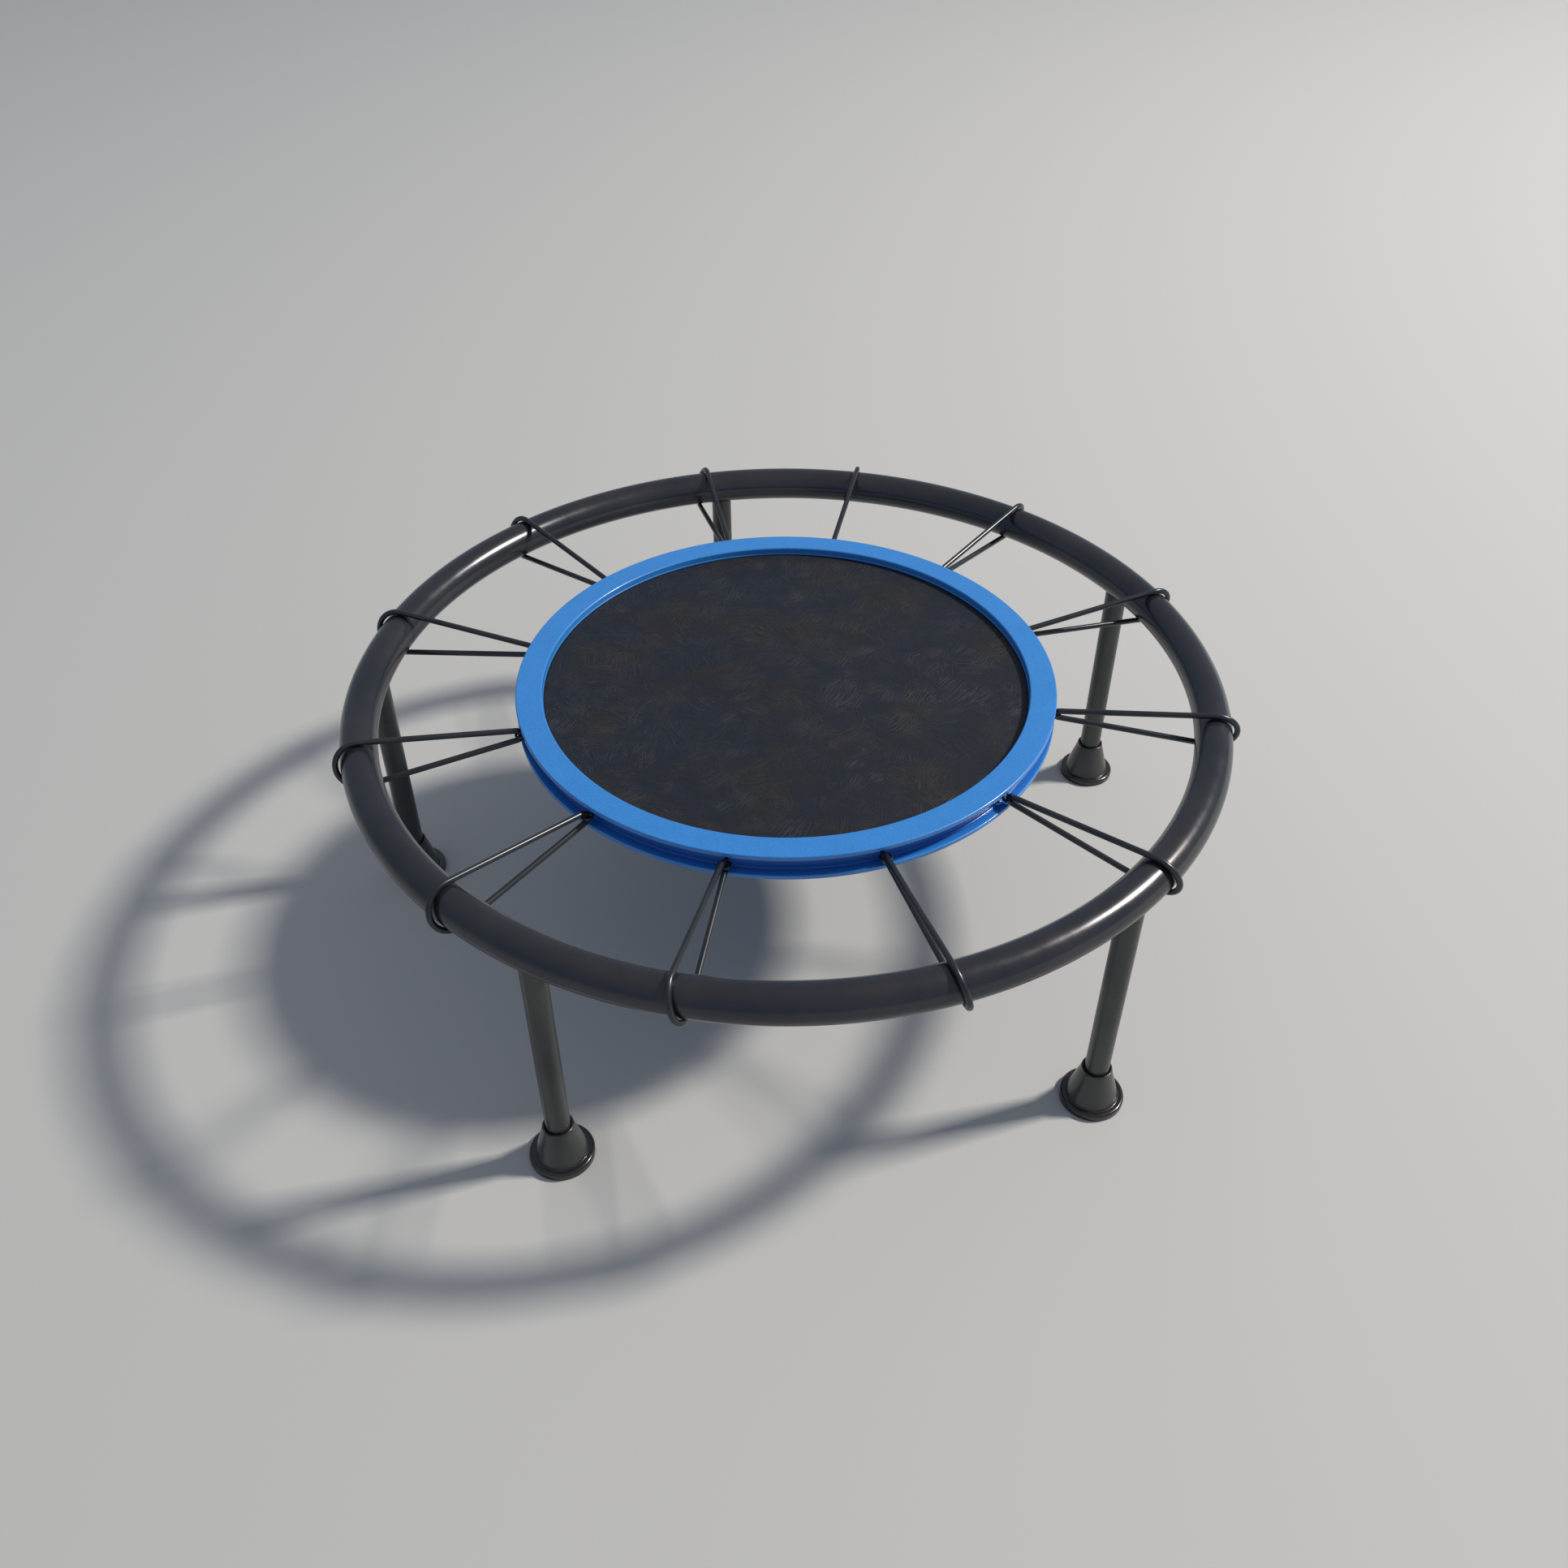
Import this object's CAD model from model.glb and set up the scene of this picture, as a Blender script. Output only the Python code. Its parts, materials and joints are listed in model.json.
"""Looks of the mini trampoline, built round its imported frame.

Metres, in the frame's own axes: +Z up, the floor at z = 0, and the ring's axis on x = y = 0. Every piece
that shows at rest is a mesh made here to the frame's sizes. The pieces inside others (spigots, washers,
ring sleeve and welt) stay as the frame has them, with better materials.
"""

import json
import math

import bmesh
import bpy
import numpy as np
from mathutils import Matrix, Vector


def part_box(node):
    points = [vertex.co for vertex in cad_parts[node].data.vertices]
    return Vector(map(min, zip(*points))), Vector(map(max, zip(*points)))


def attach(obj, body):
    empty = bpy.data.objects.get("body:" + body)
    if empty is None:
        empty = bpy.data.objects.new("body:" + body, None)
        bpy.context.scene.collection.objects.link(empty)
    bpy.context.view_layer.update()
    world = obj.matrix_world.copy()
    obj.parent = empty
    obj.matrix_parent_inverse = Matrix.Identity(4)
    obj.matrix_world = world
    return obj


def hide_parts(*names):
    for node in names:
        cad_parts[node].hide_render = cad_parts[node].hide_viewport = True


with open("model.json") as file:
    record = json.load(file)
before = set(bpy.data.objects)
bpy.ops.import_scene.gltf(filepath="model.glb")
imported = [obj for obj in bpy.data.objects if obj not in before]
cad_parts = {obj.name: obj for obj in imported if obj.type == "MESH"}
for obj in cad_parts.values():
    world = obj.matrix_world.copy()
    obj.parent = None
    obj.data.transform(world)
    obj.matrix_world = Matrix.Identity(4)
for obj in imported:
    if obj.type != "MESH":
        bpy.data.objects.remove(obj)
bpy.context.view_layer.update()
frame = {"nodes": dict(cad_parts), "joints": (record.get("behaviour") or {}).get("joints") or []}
joints = {j["name"]: j for j in frame["joints"]}

MM = 0.001
TAU = 2 * math.pi
UP = np.array([0, 0, 1])


# ---- sizes, read from the frame ----

def radius_of(node):
    """Half the width of a node that is round about a vertical axis."""
    lo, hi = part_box(node)
    return (hi.x - lo.x) / 2


ring_lo, ring_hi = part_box("frame_ring")
TUBE_R = (ring_hi.z - ring_lo.z) / 2
RING_Z = (ring_hi.z + ring_lo.z) / 2
RING_R = radius_of("frame_ring") - TUBE_R

HOOP_R = radius_of("hoop_upper")
HOOP_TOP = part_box("hoop_upper")[1].z
HOOP_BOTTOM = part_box("hoop_lower")[0].z
HOOP_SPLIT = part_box("hoop_upper")[0].z
MAT_R = radius_of("mat")
MAT_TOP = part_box("mat")[1].z
MAT_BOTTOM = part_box("mat")[0].z
WELT_R = (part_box("mat_welt")[1].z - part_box("mat_welt")[0].z) / 2
WELT_RING_R = radius_of("mat_welt") - WELT_R

# Sizes inside a node, as the CAD model has them
HOOP_BORE_R = 281.9 * MM
WEB_R = HOOP_R - 11 * MM
FLANGE_T = 5.5 * MM
CHANNEL_R = WELT_R + 0.1 * MM
SCREW_RING_R = WEB_R - 5.5 * MM
SCREW_HEAD_R = 3.6 * MM
SCREW_HEAD_H = 2.8 * MM
SCREW_SHANK_R = 1.95 * MM
COUNTERBORE_R = 4 * MM
COUNTERBORE_DEPTH = 3.4 * MM
ROD_R = 3.3 * MM
EYE_BEND_R = 5.7 * MM
TUBE_BEND_R = 25.7 * MM
BEND_CENTRES = 171.4 * MM
HANGER_LEAN = math.radians(15)
EYE_WIRE_R = 1.6 * MM
EYE_RING_R = 5.8 * MM
EYE_SHANK_R = 2.2 * MM
EYE_END_R = WEB_R - 11 * MM
SADDLE_GAP = 0.3 * MM
LEG_WALL = 1.45 * MM
FOOT_FLANGE_H = 8.9 * MM
FOOT_CONE_R = 28.9 * MM
FOOT_NECK_R = 17 * MM
FOOT_BORE_Z = 8 * MM
FOOT_LIP_Z = 49.4 * MM
SOLE_GROOVES_R = (20 * MM, 28 * MM)
SOLE_GROOVE_W = 2.5 * MM
SOLE_GROOVE_DEPTH = 1.5 * MM

LEGS = range(1, 6)
HANGERS = range(1, 13)

# Mesh fineness: points along a path or round an axis, and points round a tube's section
RING_STEPS, RING_SIDES = 420, 64
LEG_SIDES, LEG_LEVELS = 96, 28
FOOT_STEPS = 128
HOOP_STEPS = 360
MAT_STEPS, MAT_RINGS = 240, 40
SCREW_STEPS = 40
ROD_SIDES = 28
EYE_BEND_POINTS, TUBE_BEND_POINTS, STRAIGHT_STEPS = 25, 49, 40
EYE_STEPS, EYE_SIDES = 56, 20


# ---- mesh helpers ----

def new_object(name, verts, faces, material, sharp_deg=None):
    """A smooth-shaded mesh object. Edges bent by more than sharp_deg stay sharp."""
    mesh = bpy.data.meshes.new(name)
    mesh.from_pydata([tuple(v) for v in verts], [], faces)
    mesh.validate()
    mesh.polygons.foreach_set("use_smooth", [True] * len(mesh.polygons))
    if sharp_deg is not None:
        mesh.set_sharp_from_angle(angle=math.radians(sharp_deg))
    mesh.materials.append(material)
    obj = bpy.data.objects.new(name, mesh)
    bpy.context.scene.collection.objects.link(obj)
    outward_normals(obj)
    return obj


def outward_normals(obj):
    """Turns every face of a closed mesh outwards."""
    bm = bmesh.new()
    bm.from_mesh(obj.data)
    bmesh.ops.recalc_face_normals(bm, faces=bm.faces)
    bm.to_mesh(obj.data)
    bm.free()


def turns(count):
    """Evenly spaced angles all the way round."""
    return np.arange(count) * TAU / count


def grid_faces(rows, columns):
    """Quads of a grid that wraps round both ways."""
    faces = []
    for i in range(rows):
        a, b = i * columns, ((i + 1) % rows) * columns
        for j in range(columns):
            k = (j + 1) % columns
            faces.append((a + j, a + k, b + k, b + j))
    return faces


def tube_mesh(path, normal, radius, sides):
    """Vertices and faces of a round tube along a closed path in the plane with that normal."""
    path = np.asarray(path, float)
    normal = np.asarray(normal, float)
    tangent = np.roll(path, -1, 0) - np.roll(path, 1, 0)
    tangent /= np.linalg.norm(tangent, axis=1)[:, None]
    across = np.cross(normal, tangent)
    turn = turns(sides)
    rings = (
        path[:, None]
        + radius * np.cos(turn)[None, :, None] * across[:, None]
        + radius * np.sin(turn)[None, :, None] * normal
    )
    return rings.reshape(-1, 3), grid_faces(len(path), sides)


def rounded(corners, steps=6, hold=0.25 * MM):
    """A closed outline from (r, z, fillet) corners.

    Each fillet is an arc, with a point just past each of its ends that keeps the flat beside it flat.
    """
    out = []
    count = len(corners)
    for i, (x, y, fillet) in enumerate(corners):
        here = np.array([x, y])
        before = np.array(corners[i - 1][:2]) - here
        after = np.array(corners[(i + 1) % count][:2]) - here
        a, b = before / np.linalg.norm(before), after / np.linalg.norm(after)
        if fillet <= 0:
            out.append(here)
            continue
        half = math.acos(max(-1.0, min(1.0, float(a @ b)))) / 2
        reach = fillet / math.tan(half)
        middle = here + (a + b) / np.linalg.norm(a + b) * fillet / math.sin(half)
        start, end = here + a * reach, here + b * reach
        spare = min(np.linalg.norm(before), np.linalg.norm(after)) - reach
        pad = min(hold, spare * 0.4)
        if pad > 0.02 * MM:
            out.append(start + a * pad)
        swing = math.pi - 2 * half
        side = start - middle
        turn = 1 if (a[0] * b[1] - a[1] * b[0]) < 0 else -1
        for s in range(steps + 1):
            t = turn * swing * s / steps
            c, d = math.cos(t), math.sin(t)
            out.append(middle + np.array([side[0] * c - side[1] * d, side[0] * d + side[1] * c]))
        if pad > 0.02 * MM:
            out.append(end + b * pad)
    return out


def arc(cx, cy, radius, start_deg, end_deg, steps):
    """Points on an arc in the (r, z) plane, as corners with no fillet."""
    turn = np.radians(np.linspace(start_deg, end_deg, steps))
    return [(cx + radius * math.cos(t), cy + radius * math.sin(t), 0) for t in turn]


def lathe(name, outline, segments, material, centre=(0, 0), sharp_deg=50):
    """Turns a closed (r, z) outline, which may touch the axis, about the vertical axis through centre."""
    outline = np.array([(p[0], p[1]) for p in outline])
    turn = turns(segments)
    verts, faces, ring_of = [], [], []
    for r, z in outline:
        if r < 1e-9:
            ring_of.append([len(verts)])
            verts.append((centre[0], centre[1], z))
            continue
        ring_of.append(list(range(len(verts), len(verts) + segments)))
        verts.extend((centre[0] + r * math.cos(t), centre[1] + r * math.sin(t), z) for t in turn)
    for i, a in enumerate(ring_of):
        b = ring_of[(i + 1) % len(ring_of)]
        if len(a) == 1 and len(b) == 1:
            continue
        for j in range(segments):
            k = (j + 1) % segments
            if len(a) == 1:
                faces.append((a[0], b[k], b[j]))
            elif len(b) == 1:
                faces.append((a[j], a[k], b[0]))
            else:
                faces.append((a[j], a[k], b[k], b[j]))
    return new_object(name, verts, faces, material, sharp_deg)


# ---- material helpers ----

class Shader:
    """A material with one Principled shader, and short calls for the nodes that feed it."""

    def __init__(self, name, colour, metallic=0.0, roughness=0.5, **sockets):
        self.material = bpy.data.materials.new(name)
        self.material.use_nodes = True
        self.tree = self.material.node_tree
        self.shader = self.tree.nodes["Principled BSDF"]
        values = {"Base Color": (*colour, 1), "Metallic": metallic, "Roughness": roughness, **sockets}
        for socket, value in values.items():
            self.shader.inputs[socket].default_value = value
        self.place = self.add("ShaderNodeTexCoord").outputs["Object"]

    def add(self, kind, **settings):
        node = self.tree.nodes.new(kind)
        for key, value in settings.items():
            setattr(node, key, value)
        return node

    def feed(self, socket, value):
        """Links an output to an input, or sets the input to a number or colour."""
        if isinstance(value, bpy.types.NodeSocket):
            self.tree.links.new(value, socket)
        else:
            socket.default_value = value

    def noise(self, scale, detail=3.0, roughness=0.5, distortion=0.0, at=None):
        node = self.add("ShaderNodeTexNoise")
        self.feed(node.inputs["Vector"], at or self.place)
        values = {"Scale": scale, "Detail": detail, "Roughness": roughness, "Distortion": distortion}
        for key, value in values.items():
            node.inputs[key].default_value = value
        return node.outputs["Fac"]

    def remap(self, value, low, high, to_low=0.0, to_high=1.0):
        """Stretches low..high to to_low..to_high, and holds the ends."""
        node = self.add("ShaderNodeMapRange", clamp=True)
        values = {"Value": value, "From Min": low, "From Max": high, "To Min": to_low, "To Max": to_high}
        for key, number in values.items():
            self.feed(node.inputs[key], number)
        return node.outputs["Result"]

    def math(self, operation, a, b=0.0):
        node = self.add("ShaderNodeMath", operation=operation)
        self.feed(node.inputs[0], a)
        self.feed(node.inputs[1], b)
        return node.outputs[0]

    def mix(self, share, a, b, blend="MIX"):
        node = self.add("ShaderNodeMix", data_type="RGBA", blend_type=blend)
        self.feed(node.inputs["Factor"], share)
        for socket, value in ((node.inputs[6], a), (node.inputs[7], b)):
            self.feed(socket, value if isinstance(value, bpy.types.NodeSocket) else (*value, 1))
        return node.outputs[2]

    def bump(self, height, depth, normal=None):
        """Relief of that depth in metres, on top of an earlier one."""
        node = self.add("ShaderNodeBump")
        self.feed(node.inputs["Height"], height)
        node.inputs["Strength"].default_value = 1.0
        node.inputs["Distance"].default_value = depth
        if normal is not None:
            self.feed(node.inputs["Normal"], normal)
        return node.outputs["Normal"]

    def set(self, **outputs):
        """Feeds the shader's own sockets: set(Base_Color=..., Roughness=...)."""
        for key, value in outputs.items():
            self.feed(self.shader.inputs[key.replace("_", " ")], value)
        return self.material


# ---- materials ----

def gloss_metal(name, dark, light, metallic, smooth, rough, peel, fleck=0.18):
    """Dark gloss-coated steel: cloudy tone, fine flecks, patchy gloss and an orange peel of that depth."""
    s = Shader(name, dark, metallic=metallic, roughness=rough)
    cloud = s.noise(9, 4, 0.6)
    grain = s.noise(1500, 2, 0.6)
    peeled = s.noise(520, 2, 0.5)
    tone = s.mix(s.remap(cloud, 0.35, 0.68), dark, light)
    speck = s.remap(grain, 0.3, 0.7, 1 - fleck, 1 + fleck)
    colour = s.mix(1.0, tone, s.mix(speck, (0, 0, 0), (1, 1, 1)), "MULTIPLY")
    gloss = s.remap(s.noise(38, 5, 0.65), 0.3, 0.72, smooth, rough)
    relief = s.bump(peeled, peel)
    return s.set(Base_Color=colour, Roughness=gloss, Normal=s.bump(grain, peel * 0.3, relief))


def blue_satin(name, base, deep):
    """Blue satin moulding: a fine even speckle, a thin clear coat, and a deeper blue inside the groove."""
    groove_blue = (0.001, 0.088, 0.440)
    s = Shader(name, base, roughness=0.36)
    s.shader.inputs["Coat Weight"].default_value = 0.45
    s.shader.inputs["Coat Roughness"].default_value = 0.14
    fine = s.noise(430, 3, 0.75)
    cloud = s.noise(24, 4, 0.6)
    tone = s.mix(s.remap(cloud, 0.3, 0.72, 0.0, 0.2), base, deep)
    speckled = s.mix(s.remap(fine, 0.34, 0.66, 0.0, 0.42), tone, deep)
    axes = s.add("ShaderNodeSeparateXYZ")
    s.feed(axes.inputs[0], s.place)
    flat = s.add("ShaderNodeCombineXYZ")
    s.feed(flat.inputs[0], axes.outputs[0])
    s.feed(flat.inputs[1], axes.outputs[1])
    reach = s.add("ShaderNodeVectorMath", operation="LENGTH")
    s.feed(reach.inputs[0], flat.outputs[0])
    middle = (HOOP_TOP + HOOP_BOTTOM) / 2
    gap = (HOOP_TOP - HOOP_BOTTOM) / 2 - FLANGE_T
    off = s.math("ABSOLUTE", s.math("SUBTRACT", axes.outputs[2], middle))
    inside = s.math(
        "MULTIPLY",
        s.remap(reach.outputs["Value"], WEB_R - 0.5 * MM, HOOP_R, 1.0, 0.1),
        s.remap(off, gap, gap + 0.8 * MM, 1.0, 0.0),
    )
    inside = s.math("MULTIPLY", inside, s.remap(reach.outputs["Value"], WEB_R - 2 * MM, WEB_R - 1 * MM))
    colour = s.mix(s.math("MULTIPLY", inside, 0.85), speckled, groove_blue)
    gloss = s.remap(fine, 0.3, 0.7, 0.3, 0.44)
    return s.set(Base_Color=colour, Roughness=gloss, Normal=s.bump(fine, 0.028 * MM))


def brushed_mat(name):
    """The mat: a slate sheet with brownish patches, covered in bunches of short curved brush strokes."""
    slate, umber = (0.0082, 0.0128, 0.0238), (0.0148, 0.0146, 0.0178)
    raised_slate, raised_umber = (0.030, 0.034, 0.042), (0.048, 0.041, 0.038)
    pit = (0.006, 0.0075, 0.0105)
    s = Shader(name, slate, roughness=0.5)
    s.shader.inputs["Specular IOR Level"].default_value = 0.28
    drift = s.add("ShaderNodeTexNoise")
    drift.inputs["Scale"].default_value = 13
    drift.inputs["Detail"].default_value = 1.0
    s.feed(drift.inputs["Vector"], s.place)
    bent = s.add("ShaderNodeVectorMath", operation="MULTIPLY_ADD")
    s.feed(bent.inputs[0], drift.outputs["Color"])
    bent.inputs[1].default_value = (0.036, 0.036, 0.0)
    s.feed(bent.inputs[2], s.place)
    strokes = None
    for scale, shift in ((19, 0.0), (24, 1.7), (30, 3.1), (37, 4.3), (45, 5.9)):
        moved = s.add("ShaderNodeVectorMath", operation="ADD")
        s.feed(moved.inputs[0], bent.outputs[0])
        moved.inputs[1].default_value = (shift, shift * 0.6, 0.0)
        bunch = strokes_in_cells(s, moved.outputs[0], scale)
        strokes = bunch if strokes is None else s.math("MAXIMUM", strokes, bunch)
    cloud = s.noise(14, 3, 0.6)
    patch = s.remap(cloud, 0.44, 0.66)
    worked = s.math("MULTIPLY", strokes, s.remap(s.noise(8, 2, 0.5), 0.36, 0.62, 0.6, 1.0))
    crumbs = s.remap(s.noise(360, 2, 0.5), 0.66, 0.74)
    height = s.math("MAXIMUM", worked, s.math("MULTIPLY", crumbs, s.remap(cloud, 0.45, 0.6, 0.0, 0.8)))
    grain = s.noise(900, 2, 0.6)
    ground = s.mix(patch, slate, umber)
    tone = s.mix(s.remap(grain, 0.3, 0.7, 0.0, 0.4), ground, pit)
    raised = s.mix(patch, raised_slate, raised_umber)
    colour = s.mix(s.math("MULTIPLY", height, 0.85), tone, raised)
    relief = s.bump(height, 0.30 * MM)
    return s.set(
        Base_Color=colour,
        Roughness=s.remap(height, 0.0, 1.0, 0.56, 0.46),
        Normal=s.bump(grain, 0.03 * MM, relief),
    )


def strokes_in_cells(s, place, scale):
    """Thin parallel lines that run one way in each cell of a mosaic, and fade towards its edge."""
    cells = s.add("ShaderNodeTexVoronoi", feature="F1")
    cells.inputs["Scale"].default_value = scale
    s.feed(cells.inputs["Vector"], place)
    chance = s.add("ShaderNodeSeparateColor")
    s.feed(chance.inputs[0], cells.outputs["Color"])
    turned = s.add("ShaderNodeVectorRotate", rotation_type="Z_AXIS")
    s.feed(turned.inputs["Vector"], place)
    s.feed(turned.inputs["Angle"], s.math("MULTIPLY", chance.outputs[0], TAU))
    drawn = s.add("ShaderNodeVectorMath", operation="MULTIPLY")
    s.feed(drawn.inputs[0], turned.outputs[0])
    drawn.inputs[1].default_value = (26, 265, 0)
    wave = s.noise(1.0, 1.0, 0.5, 0.1, at=drawn.outputs[0])
    line = s.remap(s.math("ABSOLUTE", s.math("SUBTRACT", wave, 0.5)), 0.0, 0.05, 1.0, 0.0)
    fade = s.remap(cells.outputs["Distance"], 0.3, 0.7, 1.0, 0.0)
    force = s.remap(chance.outputs[1], 0.1, 0.9, 0.3, 1.0)
    return s.math("MULTIPLY", line, s.math("MULTIPLY", fade, force))


def gloss_rubber(name):
    """Dark moulded rubber with a polished skin.

    The flange and the rolled lip are darker and glossier than the cone between them.
    """
    dark, light, rim_black = (0.026, 0.031, 0.031), (0.036, 0.039, 0.037), (0.014, 0.013, 0.016)
    s = Shader(name, (0.034, 0.037, 0.036), roughness=0.3)
    s.shader.inputs["Coat Weight"].default_value = 0.35
    s.shader.inputs["Coat Roughness"].default_value = 0.1
    cloud = s.noise(26, 4, 0.55)
    grain = s.noise(1500, 2, 0.6)
    tone = s.mix(s.remap(cloud, 0.32, 0.7), dark, light)
    axes = s.add("ShaderNodeSeparateXYZ")
    s.feed(axes.inputs[0], s.place)
    height = axes.outputs[2]
    rims = s.math(
        "MAXIMUM",
        s.remap(height, FOOT_FLANGE_H, FOOT_FLANGE_H + 1.5 * MM, 1.0, 0.0),
        s.remap(height, FOOT_LIP_Z - 1 * MM, FOOT_LIP_Z),
    )
    gloss = s.remap(s.noise(60, 3, 0.6), 0.3, 0.7, 0.27, 0.40)
    return s.set(
        Base_Color=s.mix(rims, tone, rim_black),
        Roughness=s.math("SUBTRACT", gloss, s.math("MULTIPLY", rims, 0.1)),
        Normal=s.bump(grain, 0.012 * MM),
    )


def zinc_steel(name, tone, rough):
    """Bare or zinc-plated steel: drawn marks along the height and a cloudy plating."""
    s = Shader(name, tone, metallic=1.0, roughness=rough)
    drawn = s.add("ShaderNodeMapping")
    s.feed(drawn.inputs["Vector"], s.place)
    drawn.inputs["Scale"].default_value = (900, 900, 40)
    marks = s.noise(1.0, 3, 0.6, at=drawn.outputs["Vector"])
    cloud = s.noise(70, 4, 0.6)
    dull = tuple(c * 0.62 for c in tone)
    colour = s.mix(s.remap(cloud, 0.3, 0.7), tone, dull)
    gloss = s.remap(marks, 0.3, 0.7, rough * 0.8, rough * 1.35)
    return s.set(Base_Color=colour, Roughness=gloss, Normal=s.bump(marks, 0.02 * MM))


def twisted_cord(name):
    """The welt's cord: a twisted dark yarn."""
    s = Shader(name, (0.02, 0.02, 0.022), roughness=0.85)
    wave = s.add("ShaderNodeTexWave", bands_direction="DIAGONAL")
    wave.inputs["Scale"].default_value = 420
    wave.inputs["Distortion"].default_value = 1.5
    s.feed(wave.inputs["Vector"], s.place)
    yarn = wave.outputs["Fac"]
    colour = s.mix(yarn, (0.012, 0.012, 0.014), (0.035, 0.035, 0.038))
    return s.set(Base_Color=colour, Normal=s.bump(yarn, 0.25 * MM))


RING_METAL = gloss_metal(
    "ring_gloss", (0.050, 0.056, 0.068), (0.074, 0.073, 0.082),
    metallic=0.72, smooth=0.19, rough=0.29, peel=0.011 * MM,
)
LEG_METAL = gloss_metal(
    "leg_gloss", (0.060, 0.067, 0.067), (0.080, 0.085, 0.082),
    metallic=0.60, smooth=0.26, rough=0.36, peel=0.009 * MM,
)
ROD_METAL = gloss_metal(
    "rod_gloss", (0.042, 0.049, 0.060), (0.066, 0.069, 0.076),
    metallic=0.75, smooth=0.26, rough=0.34, peel=0.0015 * MM, fleck=0.06,
)
HOOP_BLUE = blue_satin("hoop_blue_satin", (0.032, 0.255, 0.717), (0.012, 0.128, 0.450))
MAT_SHEET = brushed_mat("mat_brushed_slate")
FOOT_RUBBER = gloss_rubber("foot_gloss_rubber")
BARE_STEEL = zinc_steel("bare_steel", (0.42, 0.42, 0.43), 0.34)
SCREW_ZINC = zinc_steel("screw_zinc", (0.62, 0.62, 0.64), 0.25)
WELT_CORD = twisted_cord("welt_cord")


# ---- frame ring ----

def make_ring():
    """The ring's tube as one smooth torus."""
    path = [(RING_R * math.cos(t), RING_R * math.sin(t), RING_Z) for t in turns(RING_STEPS)]
    verts, faces = tube_mesh(path, UP, TUBE_R, RING_SIDES)
    ring = new_object("ring_tube", verts, faces, RING_METAL)
    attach(ring, "frame")
    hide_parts("frame_ring")


# ---- legs and feet ----

def axis_of(node):
    """Where the vertical axis of a round node meets the floor."""
    lo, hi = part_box(node)
    return (lo.x + hi.x) / 2, (lo.y + hi.y) / 2


def make_leg(i):
    """A leg's tube, from the washer in its foot up to the saddle that meets the ring."""
    cx, cy = axis_of(f"foot_{i}")
    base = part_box(f"leg_{i}")[0].z
    outer = radius_of(f"leg_{i}")
    inner = outer - LEG_WALL
    edge = 0.35 * MM
    seat = TUBE_R + SADDLE_GAP
    verts = []

    def saddle(x, y):
        off = math.hypot(x, y) - RING_R
        return RING_Z - math.sqrt(seat * seat - off * off)

    def row(r, height_of):
        for t in turns(LEG_SIDES):
            x, y = cx + r * math.cos(t), cy + r * math.sin(t)
            verts.append((x, y, height_of(x, y)))

    for k in range(LEG_LEVELS + 1):
        row(outer, lambda x, y: base + edge + (saddle(x, y) - edge - base - edge) * k / LEG_LEVELS)
    row(outer - edge, saddle)
    row(inner + edge, saddle)
    row(inner, lambda x, y: saddle(x, y) - edge)
    row(inner, lambda x, y: base + edge)
    row(inner + edge, lambda x, y: base)
    row(outer - edge, lambda x, y: base)
    faces = grid_faces(len(verts) // LEG_SIDES, LEG_SIDES)
    leg = new_object(f"leg_tube_{i}", verts, faces, LEG_METAL, 35)
    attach(leg, f"leg_{i}")
    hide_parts(f"leg_{i}")


def foot_outline(foot_r, height, bore_r):
    """Section of a foot: grooved sole, rounded flange, cone, rolled lip, flared mouth and bore."""
    mouth_r = bore_r + 0.75 * MM
    sole = []
    fillet, draft = 0.3 * MM, 0.2 * MM
    for r in SOLE_GROOVES_R:
        sole += [
            (r, 0, fillet),
            (r + draft, SOLE_GROOVE_DEPTH, fillet),
            (r + SOLE_GROOVE_W - draft, SOLE_GROOVE_DEPTH, fillet),
            (r + SOLE_GROOVE_W, 0, fillet),
        ]
    return [
        (0, 0, 0),
        *sole,
        (foot_r, 0, 1.0 * MM),
        (foot_r, FOOT_FLANGE_H, 3.0 * MM),
        (FOOT_CONE_R, FOOT_FLANGE_H, 1.1 * MM),
        (FOOT_NECK_R, height - 2.6 * MM, 1.2 * MM),
        (FOOT_NECK_R + 0.15 * MM, height, 1.3 * MM),
        (mouth_r, height, 0.9 * MM),
        (mouth_r, height - 2.0 * MM, 0.8 * MM),
        (bore_r, height - 4.0 * MM, 0.8 * MM),
        (bore_r, FOOT_BORE_Z, 0.6 * MM),
        (0, FOOT_BORE_Z, 0),
    ]


def make_foot(i):
    """A foot's bell, with the leg's end in its bore."""
    node = f"foot_{i}"
    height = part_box(node)[1].z
    bore_r = radius_of(f"leg_{i}") + 0.05 * MM
    outline = rounded(foot_outline(radius_of(node), height, bore_r), steps=8)
    foot = lathe(f"foot_bell_{i}", outline, FOOT_STEPS, FOOT_RUBBER, axis_of(node))
    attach(foot, f"leg_{i}")
    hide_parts(node)


# ---- hoop ----

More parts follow.
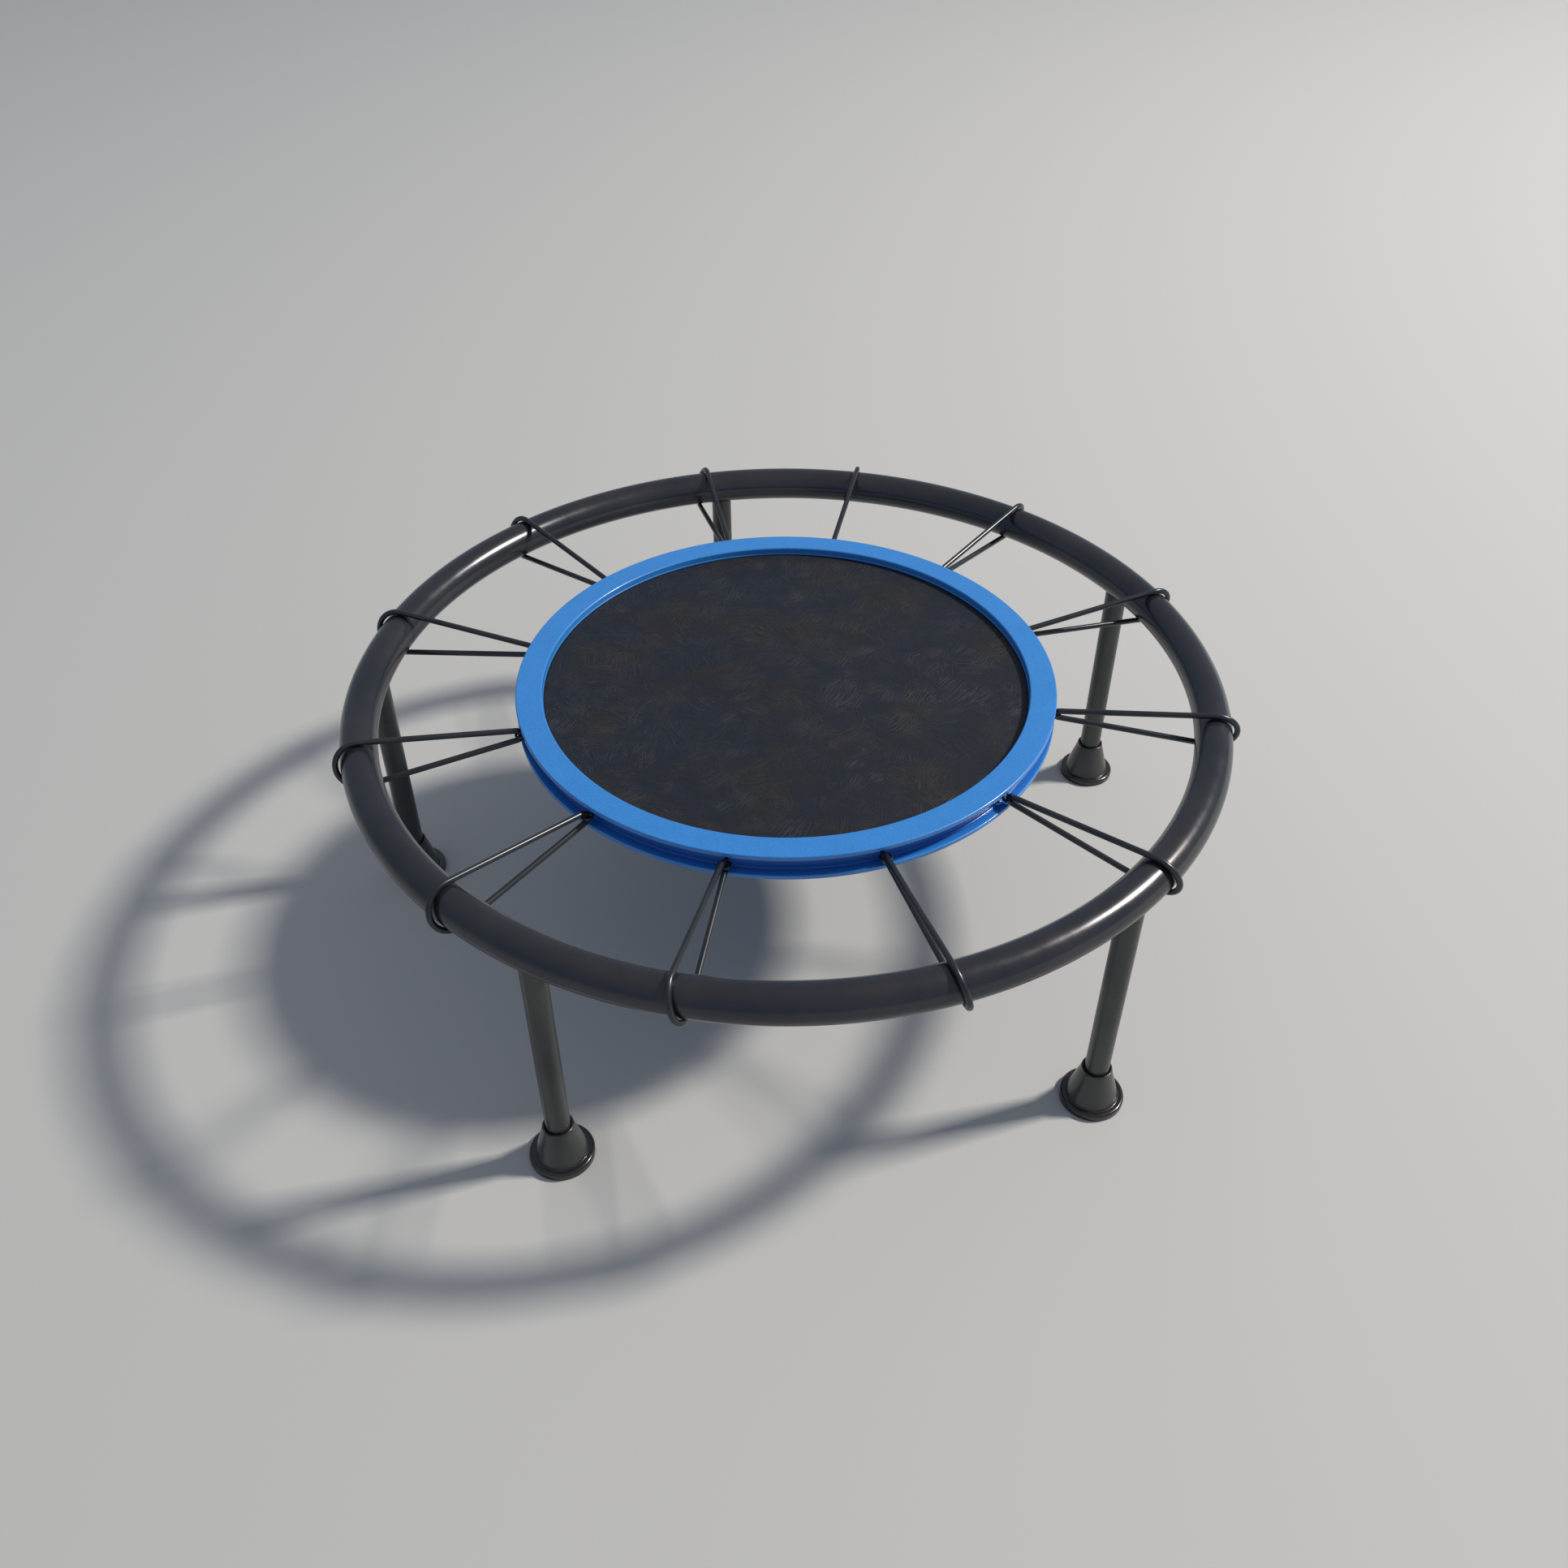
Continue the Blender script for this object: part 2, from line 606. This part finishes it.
def make_hoop_upper():
    """Upper half of the hoop.

    It has the rounded flange, a bead at the foot of its inner wall, and half of the welt's channel.
    """
    groove_top = HOOP_TOP - FLANGE_T
    seat = MAT_TOP + 0.02 * MM
    meet = math.degrees(math.asin((seat - HOOP_SPLIT) / CHANNEL_R))
    outline = [
        (HOOP_BORE_R, HOOP_TOP, 1.9 * MM),
        (HOOP_R, HOOP_TOP, 1.6 * MM),
        (HOOP_R, groove_top, 1.1 * MM),
        (WEB_R, groove_top, 1.6 * MM),
        (WEB_R, HOOP_SPLIT, 0.25 * MM),
        *arc(WELT_RING_R, HOOP_SPLIT, CHANNEL_R, 0, 180 - meet, 12),
        (HOOP_BORE_R - 0.55 * MM, seat, 0.7 * MM),
        (HOOP_BORE_R - 0.55 * MM, seat + 1.5 * MM, 0.6 * MM),
        (HOOP_BORE_R, seat + 2.1 * MM, 0.4 * MM),
    ]
    hoop = lathe("hoop_top_half", rounded(outline), HOOP_STEPS, HOOP_BLUE)
    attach(hoop, "hoop")
    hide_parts("hoop_upper")


def screw_angles():
    """Angles midway between neighbouring hangers."""
    spots = sorted(hanger_angle(k) % TAU for k in HANGERS)
    return [(a + b) / 2 for a, b in zip(spots, spots[1:] + [spots[0] + TAU])]


def make_hoop_lower():
    """Lower half of the hoop, with a counterbore for each screw."""
    groove_bottom = HOOP_BOTTOM + FLANGE_T
    top = HOOP_SPLIT - 0.02 * MM
    seat = MAT_BOTTOM - 0.02 * MM
    meet = math.degrees(math.asin((top - seat) / CHANNEL_R))
    outline = [
        (HOOP_BORE_R, seat, 0.8 * MM),
        *arc(WELT_RING_R, top, CHANNEL_R, 180 + meet, 360, 12),
        (WEB_R, top, 0.25 * MM),
        (WEB_R, groove_bottom, 1.6 * MM),
        (HOOP_R, groove_bottom, 1.1 * MM),
        (HOOP_R, HOOP_BOTTOM, 1.6 * MM),
        (HOOP_BORE_R, HOOP_BOTTOM, 1.9 * MM),
    ]
    hoop = lathe("hoop_bottom_half", rounded(outline), HOOP_STEPS, HOOP_BLUE)
    below = 2 * MM
    depth = COUNTERBORE_DEPTH + below
    cutters = bmesh.new()
    height = HOOP_BOTTOM + depth / 2 - below
    for a in screw_angles():
        made = bmesh.ops.create_cone(
            cutters,
            cap_ends=True,
            segments=SCREW_STEPS,
            radius1=COUNTERBORE_R,
            radius2=COUNTERBORE_R,
            depth=depth,
        )
        spot = Vector((SCREW_RING_R * math.cos(a), SCREW_RING_R * math.sin(a), height))
        bmesh.ops.translate(cutters, verts=made["verts"], vec=spot)
    combine(hoop, cutters, "DIFFERENCE")
    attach(hoop, "hoop")
    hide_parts("hoop_lower")


def combine(obj, shapes, operation):
    """Takes the closed shapes of a bmesh out of obj, or adds them to it, and keeps the new edges sharp."""
    mesh = bpy.data.meshes.new("shapes")
    shapes.to_mesh(mesh)
    shapes.free()
    tool = bpy.data.objects.new("shapes", mesh)
    bpy.context.scene.collection.objects.link(tool)
    modifier = obj.modifiers.new("combine", "BOOLEAN")
    modifier.object = tool
    modifier.operation = operation
    modifier.solver = "EXACT"
    bpy.context.view_layer.update()
    depsgraph = bpy.context.evaluated_depsgraph_get()
    result = bpy.data.meshes.new_from_object(obj.evaluated_get(depsgraph))
    obj.modifiers.clear()
    old = obj.data
    obj.data = result
    bpy.data.meshes.remove(old)
    bpy.data.objects.remove(tool)
    bpy.data.meshes.remove(mesh)
    merge_slivers(obj)
    obj.data.polygons.foreach_set("use_smooth", [True] * len(obj.data.polygons))
    obj.data.set_sharp_from_angle(angle=math.radians(50))


def cross_prism(x, y, z):
    """A bmesh of an upright prism with a cross for its section, centred on the point."""
    arm, half, rise = 2 * MM, 0.45 * MM, 1.4 * MM
    outline = [(arm, -half), (arm, half), (half, half)]
    for _ in range(3):
        outline += [(-v, u) for u, v in outline[-3:]]
    cross = bmesh.new()
    low = [cross.verts.new((x + u, y + v, z - rise)) for u, v in outline]
    high = [cross.verts.new((x + u, y + v, z + rise)) for u, v in outline]
    for i in range(len(outline)):
        k = (i + 1) % len(outline)
        cross.faces.new((low[i], low[k], high[k], high[i]))
    cross.faces.new(low[::-1])
    cross.faces.new(high)
    return cross


def merge_slivers(obj, reach=0.002 * MM):
    """Merges points closer together than reach, so that no face is thinner than that."""
    bm = bmesh.new()
    bm.from_mesh(obj.data)
    bmesh.ops.remove_doubles(bm, verts=bm.verts, dist=reach)
    bmesh.ops.dissolve_degenerate(bm, dist=reach, edges=bm.edges)
    bm.to_mesh(obj.data)
    bm.free()


def make_screws():
    """Pan-head screws in the counterbores, each with a cross recess."""
    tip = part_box("hoop_screws")[1].z
    seat = HOOP_BOTTOM + COUNTERBORE_DEPTH
    face = seat - SCREW_HEAD_H
    outline = rounded([
        (0, face, 0),
        (SCREW_HEAD_R, face, 1.2 * MM),
        (SCREW_HEAD_R, seat, 0.25 * MM),
        (SCREW_SHANK_R, seat, 0.2 * MM),
        (SCREW_SHANK_R, tip, 0.6 * MM),
        (0, tip, 0),
    ])
    parts = []
    for a in screw_angles():
        x, y = SCREW_RING_R * math.cos(a), SCREW_RING_R * math.sin(a)
        screw = lathe("screw", outline, SCREW_STEPS, SCREW_ZINC, (x, y), 35)
        combine(screw, cross_prism(x, y, face), "DIFFERENCE")
        parts.append(screw)
    screws = join("screws", parts)
    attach(screws, "hoop")
    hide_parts("hoop_screws")


def join(name, parts):
    """One object from several, under a new name."""
    bm = bmesh.new()
    material = parts[0].data.materials[0]
    for part in parts:
        bm.from_mesh(part.data)
    mesh = bpy.data.meshes.new(name)
    bm.to_mesh(mesh)
    bm.free()
    mesh.materials.append(material)
    for part in parts:
        bpy.data.objects.remove(part)
    obj = bpy.data.objects.new(name, mesh)
    bpy.context.scene.collection.objects.link(obj)
    return obj


# ---- mat ----

def make_mat():
    """The mat: a stretched round sheet, its edge clamped in the hoop."""
    rim = 0.5 * MM
    top = [(MAT_R * k / MAT_RINGS, MAT_TOP) for k in range(MAT_RINGS)] + [(MAT_R - rim, MAT_TOP)]
    bottom = [(r, MAT_BOTTOM) for r, _ in reversed(top)]
    edge = [(MAT_R, MAT_TOP - rim), (MAT_R, MAT_BOTTOM + rim)]
    mat = lathe("mat_sheet", top + edge + bottom, MAT_STEPS, MAT_SHEET)
    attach(mat, "hoop")
    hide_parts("mat")


# ---- hangers ----

def hanger_pivot(k):
    """Where a hanger turns on its eye."""
    return Vector(joints[f"hanger_{k:02d}_swing"]["pos_m"])


def hanger_angle(k):
    """The direction in which a hanger runs, seen from above."""
    pivot = hanger_pivot(k)
    return math.atan2(pivot.y, pivot.x)


def hanger_axes(k):
    """Unit vectors at a hanger: away from the ring's axis, and along the ring."""
    a = hanger_angle(k)
    return np.array([math.cos(a), math.sin(a), 0]), np.array([-math.sin(a), math.cos(a), 0])


def hanger_path():
    """A hanger's centreline in its own plane.

    It is a belt round a small bend at the origin, in the eye, and a large one further out, round the tube.
    """
    belt = math.asin((TUBE_BEND_R - EYE_BEND_R) / BEND_CENTRES)
    near = [
        (EYE_BEND_R * math.cos(t), EYE_BEND_R * math.sin(t))
        for t in np.linspace(math.pi / 2 + belt, 1.5 * math.pi - belt, EYE_BEND_POINTS)
    ]
    far = [
        (BEND_CENTRES + TUBE_BEND_R * math.cos(t), TUBE_BEND_R * math.sin(t))
        for t in np.linspace(-math.pi / 2 - belt, math.pi / 2 + belt, TUBE_BEND_POINTS)
    ]
    start, end = near[-1], far[0]
    shares = [k / STRAIGHT_STEPS for k in range(1, STRAIGHT_STEPS)]
    lower = [lerp(start, end, share) for share in shares]
    upper = [lerp((end[0], -end[1]), (start[0], -start[1]), share) for share in shares]
    return near + lower + far + upper


def lerp(a, b, share):
    """The point at that share of the way from a to b."""
    return tuple(p + (q - p) * share for p, q in zip(a, b))


def make_hanger(k):
    """A closed rod hanger, leaning about the line from the hoop to the ring."""
    pivot = hanger_pivot(k)
    out, along = hanger_axes(k)
    rise = UP * math.cos(HANGER_LEAN) - along * math.sin(HANGER_LEAN)
    path = [np.array(pivot) + x * out + z * rise for x, z in hanger_path()]
    verts, faces = tube_mesh(path, np.cross(out, rise), ROD_R, ROD_SIDES)
    hanger = new_object(f"hanger_rod_{k:02d}", verts, faces, ROD_METAL)
    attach(hanger, f"hanger_{k:02d}")
    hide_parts(f"hanger_{k:02d}")


def eye_shank(out, along, height, length):
    """A bmesh of one eye's shank: a round bar along out, bevelled at its far end."""
    bevel, drop = 1.6 * MM, 0.9 * MM
    profile = [(0, EYE_SHANK_R)]
    for share in np.linspace(0, 1, 6):
        profile.append((length - bevel + bevel * share, EYE_SHANK_R - drop * share**2))
    shank = bmesh.new()
    rows = []
    for x, r in profile:
        middle = out * (EYE_END_R + x) + height * UP
        around = [math.cos(t) * along + math.sin(t) * UP for t in turns(ROD_SIDES)]
        rows.append([shank.verts.new(middle + r * side) for side in around])
    for low, high in zip(rows, rows[1:]):
        for j in range(ROD_SIDES):
            k = (j + 1) % ROD_SIDES
            shank.faces.new((low[j], low[k], high[k], high[j]))
    shank.faces.new(rows[0][::-1])
    shank.faces.new(rows[-1])
    bmesh.ops.recalc_face_normals(shank, faces=shank.faces)
    return shank


def make_eyes():
    """The eye bolts in the hoop's groove: a flat ring on a shank that goes into the web."""
    into_ring = 0.5 * MM
    parts = []
    for k in HANGERS:
        pivot = hanger_pivot(k)
        out, along = hanger_axes(k)
        centre = np.array(pivot) - out * EYE_RING_R
        path = [centre + EYE_RING_R * (math.cos(t) * out + math.sin(t) * along) for t in turns(EYE_STEPS)]
        verts, faces = tube_mesh(path, UP, EYE_WIRE_R, EYE_SIDES)
        eye = new_object("eye", verts, faces, ROD_METAL)
        length = math.hypot(centre[0], centre[1]) - EYE_RING_R + into_ring - EYE_END_R
        combine(eye, eye_shank(out, along, pivot.z, length), "UNION")
        parts.append(eye)
    eyes = join("eye_bolts", parts)
    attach(eyes, "hoop")
    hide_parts("hanger_eyes")


# ---- pieces kept from the frame ----

def dress(node, material):
    """Gives a piece of the frame a new material in every slot."""
    obj = frame["nodes"][node]
    if not obj.material_slots:
        obj.data.materials.append(material)
    for entry in obj.material_slots:
        entry.material = material


# ---- stage ----

def make_camera():
    """The camera, above the front of the ring and looking down at its near side."""
    field_of_view, tilt, heading = math.radians(57.5), math.radians(49.796), math.radians(0.102)
    data = bpy.data.cameras.new("camera")
    data.sensor_width = 36
    data.lens = data.sensor_width / 2 / math.tan(field_of_view / 2)
    camera = bpy.data.objects.new("camera", data)
    camera.location = (0, -2.7712 * RING_R, RING_Z + 2.0324 * RING_R)
    camera.rotation_euler = (tilt, 0, heading)
    bpy.context.scene.collection.objects.link(camera)
    bpy.context.scene.camera = camera


def make_light(name, place, size, power, colour):
    """A square soft light at place, turned towards the ring."""
    data = bpy.data.lights.new(name, "AREA")
    data.shape = "SQUARE"
    data.size = size
    data.energy = power
    data.color = colour
    light = bpy.data.objects.new(name, data)
    light.location = place
    light.rotation_euler = (Vector((0, 0, RING_Z)) - Vector(place)).to_track_quat("-Z", "Y").to_euler()
    bpy.context.scene.collection.objects.link(light)


def make_sky():
    """A pale sky, bluer towards the horizon."""
    world = bpy.data.worlds.new("studio")
    world.use_nodes = True
    nodes, links = world.node_tree.nodes, world.node_tree.links
    split = nodes.new("ShaderNodeSeparateXYZ")
    rise = nodes.new("ShaderNodeMapRange")
    sky = nodes.new("ShaderNodeMix")
    background = nodes["Background"]
    sky.data_type = "RGBA"
    rise.inputs["From Max"].default_value = 0.95
    sky.inputs[6].default_value = (0.50, 0.67, 0.90, 1)
    sky.inputs[7].default_value = (0.70, 0.70, 0.75, 1)
    background.inputs["Strength"].default_value = 0.46
    links.new(nodes.new("ShaderNodeTexCoord").outputs["Generated"], split.inputs[0])
    links.new(split.outputs[2], rise.inputs["Value"])
    links.new(rise.outputs["Result"], sky.inputs["Factor"])
    links.new(sky.outputs[2], background.inputs["Color"])
    bpy.context.scene.world = world


def make_stage():
    """A plain pale floor, a soft warm key from the right, and the sky."""
    half = 30
    material = Shader("floor_pale", (0.49, 0.505, 0.52), roughness=0.9).material
    corners = [(-half, -half, 0), (half, -half, 0), (half, half, 0), (-half, half, 0)]
    floor = new_object("floor", corners, [(0, 1, 2, 3)], material)
    make_light("key", (7.8, 1.76, RING_Z + 7.5), 1.2, 1340, (1.0, 0.92, 0.80))
    make_sky()
    bpy.context.scene.view_settings.view_transform = "Standard"


make_camera()
make_stage()
make_ring()
for i in LEGS:
    make_leg(i)
    make_foot(i)
    dress(f"leg_spigot_{i}", BARE_STEEL)
    dress(f"foot_washer_{i}", BARE_STEEL)
dress("ring_joint_sleeve", BARE_STEEL)
dress("mat_welt", WELT_CORD)
make_hoop_upper()
make_hoop_lower()
make_screws()
make_mat()
make_eyes()
for k in HANGERS:
    make_hanger(k)
